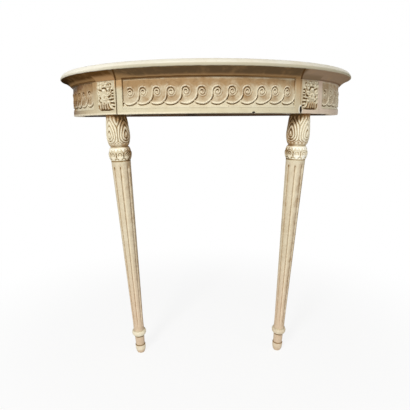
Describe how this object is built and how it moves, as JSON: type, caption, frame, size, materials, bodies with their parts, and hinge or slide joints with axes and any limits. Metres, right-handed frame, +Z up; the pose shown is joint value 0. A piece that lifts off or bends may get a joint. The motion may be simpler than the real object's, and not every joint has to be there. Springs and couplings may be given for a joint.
{
  "type": "demilune console table",
  "caption": "Half-round wall console table in cream painted wood, with a running-scroll carved apron and fluted, inward-raking turned legs under its front, fixed to the wall at the back.",
  "frame": {"origin": "on the floor, midway between the two ends and midway between the wall and the front of the top", "axes": "+X along the wall, +Y from the front of the top to the wall, +Z up"},
  "size_m": [0.9, 0.45, 0.815],
  "materials": {
    "painted_wood": "aged cream paint over carved wood, rubbed at the arrises",
    "glazed_carving": "cream paint with brown glaze left in the carving and flutes",
    "bare_wood": "unpainted, darkened with age",
    "dowel_wood": "plain turned hardwood",
    "screw_steel": "dull steel"
  },
  "bodies": {
    "root": {"top_board": "painted_wood", "front_edge_moulding": "painted_wood", "left_edge_moulding": "painted_wood", "right_edge_moulding": "painted_wood", "front_rail": "painted_wood", "left_side_rail": "painted_wood", "right_side_rail": "painted_wood", "left_leg_block": "painted_wood", "right_leg_block": "painted_wood", "left_leg": "glazed_carving", "right_leg": "glazed_carving", "front_scroll_strip": "glazed_carving", "left_scroll_strip": "glazed_carving", "right_scroll_strip": "glazed_carving", "left_leaf_panel": "glazed_carving", "right_leaf_panel": "glazed_carving", "back_rail": "bare_wood", "cross_rail": "bare_wood", "left_corner_block": "bare_wood", "right_corner_block": "bare_wood", "left_glue_block": "bare_wood", "right_glue_block": "bare_wood", "front_joint_dowels": "dowel_wood", "side_joint_dowels": "dowel_wood", "back_joint_dowels": "dowel_wood", "top_screws": "screw_steel"}
  },
  "joints": []
}
